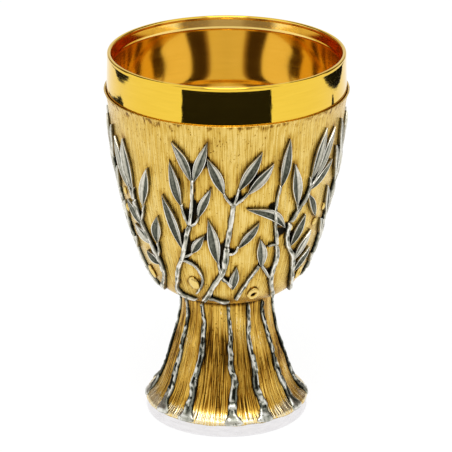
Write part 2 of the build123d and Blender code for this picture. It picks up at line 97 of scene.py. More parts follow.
# Olive sprigs on the calyx. Stems are a line with the width at its root and tip. Leaves are
# (root, tip, bulge to the left, bulge to the right), looking from the root to the tip.
SPRIGS = {
    "far_left": {
        "stems": [
            ([(-70.5, 66.2), (-74, 69.5), (-78, 75), (-80.5, 83), (-80, 92), (-81.5, 101),
              (-82, 109)], 2.8, 2.2),
            ([(-82, 109), (-80.5, 117), (-81, 125), (-80, 132)], 2.2, 1.7),
        ],
        "leaves": [
            ((-80.2, 130.5), (-85.5, 151), 2.0, 2.2),
            ((-79.8, 130.5), (-73, 149.5), 2.0, 2.0),
            ((-81, 119), (-88.5, 136), 2.1, 2.1),
            ((-81, 115), (-73.2, 129), 2.0, 2.0),
            ((-81.8, 104), (-89, 120), 2.1, 2.1),
            ((-81.2, 99), (-73, 111.5), 2.1, 2.0),
            ((-80.3, 90), (-89.5, 102), 2.1, 2.1),
            ((-80.2, 85), (-71.2, 93.5), 2.0, 1.8),
        ],
    },
    "left": {
        "stems": [
            ([(-61, 68), (-56, 71), (-50, 75.5), (-46, 82), (-47, 89), (-51, 97),
              (-55, 106), (-57.5, 117)], 2.8, 1.8),
            ([(-47, 89), (-44.5, 93), (-44, 98)], 1.6, 1.2),
            ([(-55, 106), (-51.5, 110.5), (-49.3, 116)], 1.6, 1.2),
            ([(-57.5, 116), (-57, 119.5), (-56.2, 123)], 1.6, 1.4),
            ([(-57.5, 116), (-59.5, 120), (-61, 123)], 1.6, 1.4),
        ],
        "leaves": [
            ((-49.5, 115), (-42.3, 136.5), 2.2, 2.2),
            ((-44, 97), (-39.8, 112.5), 2.5, 1.9),
            ((-56.3, 121.5), (-60, 146.5), 3.0, 2.4),
            ((-60.5, 121.5), (-69.5, 145), 2.0, 2.3),
            ((-54.5, 104), (-65.5, 114.5), 2.2, 2.2),
            ((-50.5, 95), (-63.5, 102.5), 2.3, 2.3),
            ((-46.5, 85), (-58.5, 89.5), 1.9, 2.1),
        ],
    },
    "left_centre": {
        "stems": [
            ([(-24.5, 67.6), (-30.5, 68.2), (-36, 69.7), (-38.7, 72.6), (-36.8, 76), (-34.2, 80.8),
              (-31.3, 86.5), (-27, 93), (-24.5, 99), (-20.5, 110.5)], 2.3, 2.2),
            ([(-20.5, 110.5), (-18.5, 118), (-17.5, 126), (-16.8, 135)], 2.2, 1.7),
            ([(-20.5, 110.5), (-22.3, 115.5), (-23.5, 122)], 1.7, 1.2),
            ([(-20.5, 110.5), (-17, 112.3), (-14.4, 116.5)], 1.7, 1.1),
            ([(-27, 93), (-23.5, 94.3), (-19.8, 96.3)], 1.7, 1.1),
            ([(-30.5, 88), (-27.5, 90.8), (-22.5, 90.4), (-17.5, 86.6), (-15.8, 81), (-18.6, 75.8),
              (-23.5, 71.6)], 1.6, 1.1),
        ],
        "leaves": [
            ((-17.2, 134), (-26.5, 153), 1.3, 3.1),
            ((-16.2, 134), (-9, 154.2), 2.1, 2.1),
            ((-23.4, 120.5), (-28.3, 142.5), 2.6, 2.2),
            ((-14.9, 115.5), (-7.6, 131.5), 2.0, 1.5),
            ((-26.4, 97.5), (-34.3, 125), 2.3, 2.8),
            ((-20.6, 95.9), (-12.2, 106.3), 2.0, 1.6),
        ],
    },
    "centre": {
        "stems": [
            ([(-19.3, 67.8), (-15.5, 70), (-11, 75.2), (-6.3, 81), (-2.6, 85.8), (-0.8, 92),
              (0, 100)], 2.8, 2.8),
            ([(-15.5, 69.7), (-11, 69.9), (-5.4, 68.4), (-0.6, 67.6), (2.4, 67.7)], 1.6, 1.2),
            ([(0, 100), (1.2, 107), (2.3, 114), (3, 119), (3.5, 123.5)], 2.8, 2.4),
            ([(3.4, 122.5), (1, 125), (-1.8, 129.5)], 1.7, 1.2),
            ([(3.5, 122.5), (4.6, 126), (6.1, 131.5)], 1.7, 1.2),
            ([(3.6, 122.5), (7.5, 125.7), (10.9, 128.9)], 1.7, 1.2),
            ([(-0.3, 97), (3.5, 96.8), (6.5, 100.3)], 1.7, 1.2),
            ([(-2.6, 84.5), (-4.2, 87.5), (-5, 92.5)], 1.7, 1.2),
            ([(-3.5, 82.5), (0.5, 80.5), (4.2, 77)], 2.0, 2.0),
        ],
        "leaves": [
            ((-1.2, 128.3), (-9.2, 146.5), 1.8, 2.6),
            ((5.7, 130), (17, 148.8), 2.4, 2.4),
            ((10, 128), (23, 142.5), 1.8, 2.7),
            ((6.6, 99.7), (17.4, 113), 1.6, 2.3),
            ((-4.9, 91), (-9.7, 115), 2.2, 2.5),
            ((4, 76), (6, 89), 2.0, 1.7),
        ],
    },
    "right_centre": {
        "stems": [
            ([(38.5, 68), (36.3, 71), (33.5, 74.5), (30.8, 79), (30.6, 85),
              (31.5, 92), (30, 98.5)], 2.8, 2.2),
            ([(30, 98.5), (28.5, 104), (27, 110), (26, 117), (26.3, 124), (27.6, 131)], 2.2, 1.2),
            ([(30.9, 80), (27.5, 82.5), (24.8, 85.5), (21.6, 88.8)], 1.7, 1.4),
            ([(30, 98.8), (27, 99.8), (23.9, 98.8)], 1.5, 1.1),
            ([(6.7, 68.9), (9, 73), (11.3, 76.5), (14.2, 81), (17.5, 85.4), (20.5, 88.8)], 2.2, 1.4),
        ],
        "leaves": [
            ((33.4, 107.5), (10, 120.6), -0.7, 5.1),
            ((27.4, 129.5), (31.1, 153.3), 1.9, 2.2),
            ((21.6, 88), (18.6, 104), 1.6, 2.6),
        ],
    },
    "right": {
        "stems": [
            ([(68, 66.5), (58, 70), (51, 76.5), (47, 84), (43, 91.5), (38.5, 96.5),
              (36, 103), (36.6, 109.5)], 2.8, 2.1),
            ([(36.6, 109.5), (40.5, 115), (44.8, 121), (46.8, 127.5)], 2.1, 1.6),
            ([(46.6, 126), (46.2, 129), (46.6, 131)], 1.5, 1.2),
            ([(46.6, 126), (49.5, 128.5), (51, 131)], 1.5, 1.2),
            ([(40.5, 115), (39.8, 117), (39, 119.5)], 1.4, 1.1),
        ],
        "leaves": [
            ((46.3, 129.5), (55, 153.3), 2.4, 2.0),
            ((50, 130.2), (62.8, 151.6), 1.6, 2.4),
            ((46.5, 124.5), (63.5, 135.5), 1.4, 2.0),
            ((39.2, 118), (34.6, 140.3), 2.2, 2.4),
            ((39.6, 96.5), (47, 111.8), 2.0, 2.2),
            ((45.5, 87.5), (56, 101.5), 2.1, 2.1),
            ((49.5, 80), (61, 91), 2.1, 2.1),
            ((46, 122.5), (57, 108), 1.6, 1.6),
        ],
    },
    "far_right": {
        "stems": [
            ([(95, 66.5), (87, 70), (81, 77), (77.5, 86), (75.5, 95), (74.5, 104)], 2.8, 2.3),
            ([(74.5, 104), (75.5, 113), (77, 122), (77.5, 132)], 2.3, 1.7),
        ],
        "leaves": [
            ((77.2, 130.5), (71.5, 153), 2.2, 2.2),
            ((77.8, 130.5), (86, 152), 2.2, 2.2),
            ((76.8, 120), (67.5, 141), 2.2, 2.3),
            ((76.8, 118), (87.5, 134), 2.2, 2.2),
            ((74.8, 103), (65, 121.5), 2.3, 2.2),
            ((74.8, 101), (86, 116.5), 2.2, 2.3),
            ((75.7, 93.5), (66, 104.5), 2.0, 2.2),
            ((77.3, 86), (88.5, 97.5), 2.2, 2.2),
            ((80, 78.5), (71, 84.5), 1.8, 1.8),
        ],
    },
}

# Branches down the foot, from the ring up to the waist
BRANCHES = [
    [(-52, 6), (-57.5, 14), (-58.5, 22), (-57, 30), (-59.5, 38), (-57, 46), (-57.5, 53), (-63, 60.5)],
    [(-30, 6), (-32, 15), (-31.5, 25), (-28.5, 33), (-28.5, 45), (-30.5, 54), (-31.5, 61)],
    [(5, 6), (5.5, 15), (6.5, 24), (4.5, 34), (5, 44), (3.5, 52), (3, 61)],
    [(28.5, 6), (30, 17), (28.5, 26), (29.5, 33), (26, 41), (27.5, 48), (28.5, 61)],
    [(61, 6), (62, 15), (59, 25), (57, 33), (56, 42), (52, 50), (51.5, 60.5)],
    [(92, 6), (88, 17), (90, 28), (86, 38), (88, 50), (84, 61)],
]
BRANCH_ROOT_W = 4.0
BRANCH_TOP_W = 2.0
BRANCH_T = 1.35
BRANCH_FLARE = 2.6  # how much wider a branch spreads where it meets the ring

SPRIG_T = 1.9  # how far a main stem of a sprig stands out
TWIG_T = 1.75  # and how far its twigs do

# Gilt olives between the sprigs, as (angle, height, length, width, lean from upright)
OLIVES = [
    (-22.6, 78, 8.6, 5.2, -16), (38.2, 106.2, 3.4, 2.6, 10), (59, 104.6, 4.2, 3.0, 20),
    (67.5, 110, 4.6, 3.0, -10), (-68.8, 117.6, 4.6, 3.0, 15), (-74, 107.5, 4.8, 3.2, -10),
]
# Gilt eyes, rings of a cut twig round a middle painted dark as the shade of a hole, as (angle, height,
# radius, thickness)
EYES = [(19.8, 72.0, 1.75, 1.9), (-66, 76, 1.5, 1.6), (60.5, 77, 1.5, 1.6)]
EYE_STRETCH = 1.6  # how much longer an eye is upwards than across
# Deep gaps between crossing leaves, painted black as shade with some patina, as (angle, height, radius)
SHADED_HOLLOWS = [(30.6, 105.6, 3.5), (24.2, 120.4, 2.3)]

OLIVE_ROWS = 13
OLIVE_SIDES = 18
STEM_STEP = 0.7  # between the cross-sections of a stem


# ---------------------------------------------------------------- curves and walls

def smooth_curve(points, count):
    """Points along a natural cubic spline through the given ones."""
    p = np.array(points, float)
    t = np.concatenate([[0], np.cumsum(np.linalg.norm(np.diff(p, axis=0), axis=1))])
    h = np.diff(t)
    last = len(p) - 1
    a = np.eye(last + 1)
    b = np.zeros_like(p)
    for i in range(1, last):
        a[i, i - 1:i + 2] = h[i - 1], 2 * (h[i - 1] + h[i]), h[i]
        b[i] = 6 * ((p[i + 1] - p[i]) / h[i] - (p[i] - p[i - 1]) / h[i - 1])
    m = np.linalg.solve(a, b)
    u = np.linspace(0, t[-1], count)
    k = np.clip(np.searchsorted(t, u, side="right") - 1, 0, last - 1)
    low, high, step = (u - t[k])[:, None], (t[k + 1] - u)[:, None], h[k][:, None]
    cubic = (m[k] * high ** 3 + m[k + 1] * low ** 3) / (6 * step)
    return cubic + (p[k] / step - m[k] * step / 6) * high + (p[k + 1] / step - m[k + 1] * step / 6) * low


def along(points, step):
    """The same line with points about this far apart, its corners kept."""
    p = np.array(points, float)
    out = [p[:1]]
    for a, b in zip(p, p[1:]):
        n = max(1, round(float(np.linalg.norm(b - a)) / step))
        out.append(a + (b - a) * np.linspace(0, 1, n + 1)[1:, None])
    return np.concatenate(out)


def corner(centre, radius, start, end, count=7):
    """Points on an arc in a turned outline, its angles in degrees from outwards towards up."""
    a = np.radians(np.linspace(start, end, count))
    return [(centre[0] + radius * math.cos(t), centre[1] + radius * math.sin(t)) for t in a]


class Wall:
    """A turned wall. A place on it is an angle in degrees and s, the distance up along its outline."""

    def __init__(self, outline):
        line = smooth_curve(outline, 600)
        self.r, self.z = line[:, 0], line[:, 1]
        self.s = np.concatenate([[0], np.cumsum(np.hypot(np.diff(self.r), np.diff(self.z)))])
        slope = np.gradient(line, axis=0)
        slope /= np.linalg.norm(slope, axis=1)[:, None]
        self.out_r, self.out_z = slope[:, 1], -slope[:, 0]
        self.length = self.s[-1]

    def s_at(self, z):
        return np.interp(z, self.z, self.s)

    def radius(self, s):
        return np.interp(s, self.s, self.r)

    def place(self, angle, s, lift):
        """Where a place on the wall is in space, moved out by lift."""
        s = np.asarray(s, float)
        r = np.interp(s, self.s, self.r) + lift * np.interp(s, self.s, self.out_r)
        z = np.interp(s, self.s, self.z) + lift * np.interp(s, self.s, self.out_z)
        a = np.radians(angle)
        return np.stack([r * np.sin(a), -r * np.cos(a), z], -1)


def noise_at(points, scale=(1, 1, 1), seed=0.0):
    """Perlin noise from about -1 to 1 at each point."""
    s = np.array(scale, float)
    shift = np.array([seed * 17.3, seed * 9.1, seed * 5.7])
    return np.array([noise.noise(Vector(p)) for p in (np.asarray(points).reshape(-1, 3) * s + shift)])


def smoothstep(x, low, high):
    t = np.clip((x - low) / (high - low), 0, 1)
    return t * t * (3 - 2 * t)


# ---------------------------------------------------------------- meshes

def make_piece(name, points, faces, patina, material, body, replaces):
    """A smooth mesh from points in millimetres that rides on a body. patina is how dark each is, 0 to 1:
    tarnish, and painted shade where a piece puts it.
    """
    mesh = bpy.data.meshes.new(name)
    mesh.from_pydata((np.asarray(points) * MM).tolist(), [], faces)
    layer = mesh.attributes.new("patina", "FLOAT", "POINT")
    layer.data.foreach_set("value", np.clip(patina, 0, 1).astype(np.float32))
    mesh.polygons.foreach_set("use_smooth", [True] * len(mesh.polygons))
    mesh.materials.append(material)
    mesh.update()
    piece = bpy.data.objects.new(name, mesh)
    bpy.context.scene.collection.objects.link(piece)
    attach(piece, body)
    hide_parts(*replaces)
    return piece


def turned(outline, sides):
    """Points and faces of a closed outline, turned round the axis. Points on the axis become poles."""
    rows = [tuple(map(float, p)) for p in outline]
    a = np.linspace(0, 2 * math.pi, sides, endpoint=False)
    points, starts = [], []
    for r, z in rows:
        starts.append(len(points))
        if r < 1e-6:
            points.append((0, 0, z))
        else:
            points += [(r * math.sin(t), -r * math.cos(t), z) for t in a]
    faces = []
    closed = rows[0][0] > 1e-6 and rows[-1][0] > 1e-6
    pairs = list(zip(range(len(rows)), range(1, len(rows))))
    if closed:
        pairs.append((len(rows) - 1, 0))
    for i, j in pairs:
        for k in range(sides):
            n = (k + 1) % sides
            low = [starts[i]] if rows[i][0] < 1e-6 else [starts[i] + k, starts[i] + n]
            high = [starts[j]] if rows[j][0] < 1e-6 else [starts[j] + n, starts[j] + k]
            faces.append(low + high)
    return np.array(points), faces


def band_faces(rows, columns, first=0, closed=False):
    """Quads between rows of points that close round, with the last row joined to the first if closed."""
    out = []
    for i in range(rows if closed else rows - 1):
        j = (i + 1) % rows
        for k in range(columns):
            n = (k + 1) % columns
            out.append((first + i * columns + k, first + i * columns + n,
                        first + j * columns + n, first + j * columns + k))
    return out


class Builder:
    """Collects the points, faces and patina values of several closed shapes for one piece."""

    def __init__(self):
        self.points, self.faces, self.patina, self.count = [], [], [], 0

    def add_rings(self, rings, patina, closed=False):
        """A shape from rings of points. Its first and last rings are capped, or joined if closed."""
        n, k = rings.shape[:2]
        self.points.append(rings.reshape(-1, 3))
        self.patina.append(np.asarray(patina, float).reshape(-1))
        self.faces += band_faces(n, k, self.count, closed)
        if not closed:
            self.faces.append(tuple(self.count + i for i in reversed(range(k))))
            self.faces.append(tuple(self.count + (n - 1) * k + i for i in range(k)))
        self.count += n * k

    def finish(self, name, material, body, slot, replaces):
        points = np.concatenate(self.points)
        make_piece(name, points, self.faces, np.concatenate(self.patina), material, body, replaces)
        return points


# ---------------------------------------------------------------- sprigs and branches

# Cross-sections from the middle out to one side: (share of the half width, share of the height, patina and
# painted shade)
LEAF_HALF = [(0.0, 0.0, 0.9), (0.07, 0.04, 0.70), (0.28, 0.16, 0.43), (0.56, 0.38, 0.36), (0.8, 0.62, 0.52),
             (0.88, 0.93, 0.10), (0.95, 1.0, 0.0), (1.0, 0.92, 0.05)]
# A leaf's sides down to the wall are painted dark as shade under its raised edge, with some patina
LEAF_SIDE = [(0.99, 0.5, 0.45), (0.94, 0.0, 0.75)]
# A stem's outer sides down to the wall are painted dark as shade in the same way
STEM_HALF = [(0.0, 0.93, 0.14), (0.3, 0.96, 0.08), (0.55, 1.0, 0.0), (0.76, 0.84, 0.05), (0.91, 0.58, 0.42),
             (1.0, 0.28, 0.75), (0.96, -0.1, 0.85)]
LEAF_ROWS = 26


def across_both(half):
    """A whole cross-section from its half: the left side outside in, then the right side inside out."""
    return [(-u, h, dark) for u, h, dark in reversed(half[1:])] + half


def add_leaf(build, wall, root, tip, left, right, seed):
    """A pointed leaf: two slopes that meet in a valley, a bright rim, and sides down to the wall painted dark
    as shade. One slope gets more painted shade than the other.
    """
    s0, s1 = wall.s_at(root[1]), wall.s_at(tip[1])
    scale = math.radians(1) * wall.radius((s0 + s1) / 2)
    a, b = np.array([root[0] * scale, s0]), np.array([tip[0] * scale, s1])
    ahead = (b - a) / np.linalg.norm(b - a)
    across = np.array([-ahead[1], ahead[0]])
    t = 0.004 + 0.992 * (1 - np.cos(np.linspace(0, math.pi, LEAF_ROWS))) / 2
    belly = np.sin(math.pi * t)
    swell = np.sin(math.pi * t ** 0.92) ** 1.12 + 0.05 * belly
    wave = 0.16 * math.sin(seed * 7.1) * np.sin(2 * math.pi * t)
    spine = a + (b - a) * t[:, None] + across * ((left - right) / 2 * swell + wave)[:, None]
    half = (left + right) / 2 * swell + 0.1 * belly + 0.05
    tilt = 0.45 * math.sin(seed * 3.7)
    darker = math.sin(seed * 5.3)  # which half gets the painted shade, as if turned from the light, and how much
    shade = 0.27 * math.copysign(0.4 + 0.6 * abs(darker), darker)
    valley = LEAF_VALLEY + 0.35 * (1 - belly)
    rim = LEAF_RIM - 0.55 * (2 * t - 1) ** 4 + 0.12 * np.sin(5 * t + seed)
    rows, patina = [], []
    for u, share, dark in across_both(LEAF_HALF + LEAF_SIDE):
        flat = spine + across * (half * u)[:, None]
        if (abs(u), share, dark) in LEAF_SIDE:
            lift = rim * share - 0.15 * (share == 0) + tilt * np.sign(u) * belly * share
            rows.append(wall.place(flat[:, 0] / scale, flat[:, 1], lift))
            patina.append(np.full(LEAF_ROWS, dark))
            continue
        lift = valley + (rim - valley) * share + tilt * u * belly
        rows.append(wall.place(flat[:, 0] / scale, flat[:, 1], lift))
        # Painted shade on one slope; also more dark towards the root
        patina.append(dark + (shade * np.sign(u) + 0.22 * (1 - t) ** 2) * (0.1 < dark < 0.7))
    build.add_rings(np.stack(rows, 1), np.stack(patina, 1))


def add_stem(build, wall, line, width_start, width_end, height, seed, pitted, lumpy, flare=0.0):
    """A knotty stem that lies along the wall, hollowed along its middle, with pits, and sides painted dark as
    shade, one side more than the other.

    With a flare, its start spreads by that much and sinks into what it meets."""
    p = np.array(line, float)
    s = wall.s_at(p[:, 1])
    scale = math.radians(1) * wall.radius(float(np.mean(s)))
    flat = np.stack([p[:, 0] * scale, s], 1)
    length = float(np.sum(np.linalg.norm(np.diff(flat, axis=0), axis=1)))
    n = max(6, round(length / STEM_STEP))
    flat = smooth_curve(flat, n)
    ahead = np.gradient(flat, axis=0)
    ahead /= np.linalg.norm(ahead, axis=1)[:, None]
    across = np.stack([-ahead[:, 1], ahead[:, 0]], 1)
    t = np.linspace(0, 1, n)
    far = t * length

    def noise_along(size, row, shift):
        return noise_at(np.stack([far / size, np.full(n, row), np.zeros(n)], 1), seed=seed + shift)

    knots = noise_along(4.5, 0.0, 0)
    ends = np.sqrt(np.clip(np.minimum(t, 1 - t) * length / 1.2, 0.02, 1))
    spread = 1 - smoothstep(far, 0, 7) if flare else np.zeros(n)
    width = width_start + (width_end - width_start) * t ** 0.7 + flare * spread ** 2
    half = width / 2 * (1 + lumpy * knots * (1 - spread)) * (0.6 + 0.4 * ends)
    if flare:
        flat = flat + across * (0.9 * noise_along(6, 5.0, 1) * (1 - spread))[:, None]
        ends = np.maximum(ends, np.where(t < 0.5, 0.75, 0))
    rough = 0.14 if flare else 0.07
    shaded_side = 2 * noise_along(8, 9.0, 2)
    hollows = smoothstep(noise_along(3.2, 3.0, 4), 0, 0.25)
    rows, patina = [], []
    for u, share, dark in across_both(STEM_HALF):
        bark = noise_along(2.4, u * 1.4, 3)
        pit = pitted * smoothstep(-bark, 0.02, 0.3) * (1 - 0.7 * spread)
        place = flat + across * (half * u * (1 + rough * bark))[:, None]
        lift = height * (1 + 0.15 * knots + rough * bark) * share * ends
        lift = lift * (1 - 0.3 * pit) * (1 - 0.45 * spread)
        rows.append(wall.place(place[:, 0] / scale, place[:, 1], lift))
        # Painted shade on one side, changing along the stem, and patina in the hollows of its middle; the
        # dark fades where the stem spreads
        dark = dark + 0.6 * pitted * smoothstep(u * shaded_side, 0.0, 0.25) + 0.9 * pitted * hollows * (abs(u) < 0.4)
        dark = dark * (1 - 0.8 * spread)
        patina.append(np.maximum(dark, 0.95 * pit) if share < 0.95 else np.maximum(dark, 0.7 * pit))
    build.add_rings(np.stack(rows, 1), np.stack(patina, 1))


def add_olive(build, wall, angle, z, length, width, lean):
    """A gilt olive, half sunk in the wall, its long axis leaning from upright."""
    s = float(wall.s_at(z))
    scale = math.radians(1) * wall.radius(s)
    turn = math.radians(lean)
    rings, patina = [], []
    for v in np.cos(np.linspace(math.pi, 0, OLIVE_ROWS)) * 0.999:
        reach = math.sqrt(1 - v * v)
        a = np.linspace(0, 2 * math.pi, OLIVE_SIDES, endpoint=False)
        x, y = np.cos(a) * reach * width / 2, np.full(OLIVE_SIDES, v * length / 2)
        lift = np.sin(a) * reach * width / 2 * 0.8
        rings.append(wall.place(angle + (x * math.cos(turn) + y * math.sin(turn)) / scale,
                                s + y * math.cos(turn) - x * math.sin(turn), lift))
        # Painted shade: the olive goes from bright on its top to dark where it meets the wall
        patina.append(0.85 * (1 - smoothstep(np.sin(a) * reach, 0.05, 0.55)) - 0.12)
    build.add_rings(np.array(rings), np.array(patina))


def add_eye(build, wall, angle, z, radius, thick):
    """A gilt ring that lies on the wall, round a middle painted dark as the shade of a hole. Its underside
    and its inner side are painted dark as shade too.
    """
    s = float(wall.s_at(z))
    scale = math.radians(1) * wall.radius(s)
    a = np.linspace(0, 2 * math.pi, OLIVE_SIDES, endpoint=False)
    rings = []
    for turn in np.linspace(0, 2 * math.pi, 2 * OLIVE_SIDES, endpoint=False):
        reach = radius + 0.12 * radius * math.sin(2 * turn + angle) + thick / 2 * np.cos(a)
        aside, up = reach * math.cos(turn) / scale, EYE_STRETCH * reach * math.sin(turn)
        rings.append(wall.place(angle + aside, s + up, 0.4 + 0.55 * thick * np.sin(a)))
    # Painted shade: dark on the ring's underside against the wall and on its inner side towards the middle
    dark = 0.75 * (1 - smoothstep(np.sin(a), -0.1, 0.6)) + 0.4 * smoothstep(-np.cos(a), 0.5, 1.0) - 0.15
    build.add_rings(np.array(rings), np.tile(dark, len(rings)), closed=True)


# ---------------------------------------------------------------- materials

# How bright or dark the castings are from wear, patina and painted shade, at each of the five colours that a
# gilt or a silver is given
GILT_STOPS = (0.0, 0.02, 0.24, 0.5, 0.86)
SILVER_STOPS = (0.0, 0.22, 0.48, 0.72, 0.95)


def metal(name):
    """A new metal, as its material, node tree and shader."""
    m = bpy.data.materials.new(name)
    m.use_nodes = True
    shader = m.node_tree.nodes["Principled BSDF"]
    shader.inputs["Metallic"].default_value = 1
    return m, m.node_tree, shader


def node(tree, kind, **settings):
    n = tree.nodes.new(kind)
    for key, value in settings.items():
        if key in n.inputs:
            n.inputs[key].default_value = value
        else:
            setattr(n, key, value)
    return n


def feed(tree, socket, value):
    """Links a socket, or sets it to a constant."""
    if isinstance(value, (int, float, tuple)):
        socket.default_value = value
    else:
        tree.links.new(value, socket)


def ramp(tree, source, stops):
    """A colour ramp from (position, colour) stops. A colour may be one number, for a grey."""
    r = node(tree, "ShaderNodeValToRGB")
    while len(r.color_ramp.elements) < len(stops):
        r.color_ramp.elements.new(0.5)
    for element, (position, colour) in zip(r.color_ramp.elements, stops):
        element.position = position
        element.color = (*(colour if isinstance(colour, tuple) else (colour,) * 3), 1)
    tree.links.new(source, r.inputs["Fac"])
    return r.outputs["Color"]


def vector_math(tree, operation, a, b=(0, 0, 0)):
    n = node(tree, "ShaderNodeVectorMath", operation=operation)
    feed(tree, n.inputs[0], a)
    feed(tree, n.inputs[1], b)
    return n.outputs[0]


def added(tree, start, *terms):
    """start plus each (value, its centre, weight) term, as (value - centre) * weight."""
    total = start
    for value, centre, weight in terms:
        n = node(tree, "ShaderNodeMath", operation="SUBTRACT")
        feed(tree, n.inputs[0], value)
        n.inputs[1].default_value = centre
        m = node(tree, "ShaderNodeMath", operation="MULTIPLY_ADD")
        feed(tree, m.inputs[0], n.outputs[0])
        m.inputs[1].default_value = weight
        feed(tree, m.inputs[2], total)
        total = m.outputs[0]
    return total


def grain(tree, where, size, detail=4.0, rough=0.55):
    """Noise whose features are about size metres across."""
    n = node(tree, "ShaderNodeTexNoise", Scale=1 / size, Detail=detail, Roughness=rough)
    tree.links.new(where, n.inputs["Vector"])
    return n.outputs["Fac"]


def plain(tree, stretch=(1, 1, 1)):
    """The piece's own coordinates, scaled along each axis."""
    return vector_math(tree, "MULTIPLY", node(tree, "ShaderNodeTexCoord").outputs["Object"], stretch)


def upright(tree, rise):
    """Coordinates on a cylinder through the wall, drawn out upwards, where noise makes upright lines."""
    place = node(tree, "ShaderNodeTexCoord").outputs["Object"]
    out = vector_math(tree, "NORMALIZE", vector_math(tree, "MULTIPLY", place, (1, 1, 0)))
    out = vector_math(tree, "MULTIPLY", out, (0.05, 0.05, 0))
    return vector_math(tree, "ADD", out, vector_math(tree, "MULTIPLY", place, (0, 0, rise)))


def patina_of(tree):
    return node(tree, "ShaderNodeAttribute", attribute_name="patina").outputs["Fac"]


def bump(tree, shader, height, strength, distance):
    b = node(tree, "ShaderNodeBump", Strength=strength, Distance=distance)
    tree.links.new(height, b.inputs["Height"])
    tree.links.new(b.outputs["Normal"], shader.inputs["Normal"])


def polished_gilt():
    """Mirror gilt under clear lacquer, with faint spinning lines. Its patina attribute is 1 for the satin
    inside.
    """
    m, tree, shader = metal("polished_gilt")
    lines = grain(tree, plain(tree, (1, 1, 14)), 0.016, 3)
    tone = added(tree, lines, (patina_of(tree), 0.0, 1.0))
    feed(tree, shader.inputs["Base Color"], ramp(tree, added(tree, 0.0, (tone, 0.0, 0.5)), [
        (0.15, (0.84, 0.54, 0.04)), (0.35, (0.88, 0.58, 0.05)),
        (0.65, (0.86, 0.61, 0.165)), (0.85, (0.9, 0.65, 0.20)),
    ]))
    satin = added(tree, 0.035, (patina_of(tree), 0.0, 0.05), (lines, 0.5, 0.07))
    feed(tree, shader.inputs["Roughness"], satin)
    shader.inputs["Coat Weight"].default_value = 0.3
    shader.inputs["Coat Roughness"].default_value = 0.06
    bump(tree, shader, lines, 0.03, 0.0001)
    return m


def tooled_gilt(name, colours, line_size, contrast, roughness, relief):
    """Cast gilt with upright tooling. Its colours run from bright to black as the patina attribute rises,
    which holds both the gilt's deposit and painted shade.
    """
    m, tree, shader = metal(name)
    lines = grain(tree, upright(tree, 0.03), line_size, 1, 0.5)
    cuts = ramp(tree, lines, [(0.40, 0.0), (0.475, 1.0), (0.525, 1.0), (0.60, 0.0)])
    scratches = grain(tree, upright(tree, 0.12), line_size / 2, 3, 0.7)
    cloud = grain(tree, plain(tree), 0.009, 5, 0.65)
    specks = grain(tree, plain(tree, (1, 1, 0.6)), 0.0009, 2)
    dots = ramp(tree, specks, [(0.64, 0.0), (0.70, 1.0)])
    where = patina_of(tree)
    deep = node(tree, "ShaderNodeMath", operation="MULTIPLY")
    feed(tree, deep.inputs[0], cuts)
    feed(tree, deep.inputs[1], added(tree, 0.35, (where, 0.0, 1.3)))
    wear_and_shade = added(tree, where, (deep.outputs[0], 0.3, contrast), (scratches, 0.5, contrast * 0.8),
                 (cloud, 0.5, 0.4), (dots, 0.0, 0.35))
    feed(tree, shader.inputs["Base Color"], ramp(tree, wear_and_shade, list(zip(GILT_STOPS, colours))))
    feed(tree, shader.inputs["Roughness"], ramp(tree, wear_and_shade, [
        (0.0, roughness - 0.1), (0.2, roughness), (0.45, roughness + 0.16)]))
    raised = added(tree, lines, (deep.outputs[0], 0.0, -0.3))
    bump(tree, shader, raised, 0.8, relief)
    return m


def old_silver(name, colours, roughness, pits):
    """Silver, polished on its edges and oxidised in its hollows, and darkened as painted shade where the
    patina attribute says.
    """
    m, tree, shader = metal(name)
    cloud = grain(tree, plain(tree), 0.0016, 5, 0.6)
    holes = ramp(tree, grain(tree, plain(tree, (1, 1, 0.7)), 0.0011, 2), [(0.60, 0.0), (0.68, 1.0)])
    wear_and_shade = added(tree, patina_of(tree), (cloud, 0.5, 0.45), (holes, 0.0, pits))
    feed(tree, shader.inputs["Base Color"], ramp(tree, wear_and_shade, list(zip(SILVER_STOPS, colours))))
    feed(tree, shader.inputs["Roughness"], ramp(tree, wear_and_shade, [(0.0, roughness), (1.0, roughness + 0.3)]))
    bump(tree, shader, cloud, 0.3, 0.0002)
    return m


def brushed(name, low, high, grain_size, roughness):
    """Metal with brushed or turned lines round the axis."""
    m, tree, shader = metal(name)
    cloud = grain(tree, plain(tree, (1, 1, 5)), grain_size, 4)
    feed(tree, shader.inputs["Base Color"], ramp(tree, cloud, [(0.3, low), (0.65, high)]))
    feed(tree, shader.inputs["Roughness"], ramp(tree, cloud, [(0.3, roughness), (0.7, roughness + 0.13)]))
    bump(tree, shader, cloud, 0.15, 0.0002)
    return m


# ---------------------------------------------------------------- pieces

def build_sprigs(wall, silver):
    """The sprig designs, each used twice, half a turn apart. Returns all their points."""
    points = []
    number = 0
    for turn in (0, 180):
        for design in SPRIGS.values():
            number += 1
            build = Builder()
            for k, (line, start, end) in enumerate(design["stems"]):
                turned_line = [(a + turn, z) for a, z in line]
                thick = TWIG_T if k else SPRIG_T
                add_stem(build, wall, turned_line, start, end, thick, number + k * 0.37, 0.5, 0.22)
            for k, (root, tip, left, right) in enumerate(design["leaves"]):
                root, tip = (root[0] + turn, root[1]), (tip[0] + turn, tip[1])
                add_leaf(build, wall, root, tip, left, right, number + k * 1.7)
            name = f"sprig_{number:02d}"
            points.append(build.finish(f"olive_{name}", silver, "stand", "sprig_silver", [name]))
    return np.concatenate(points)


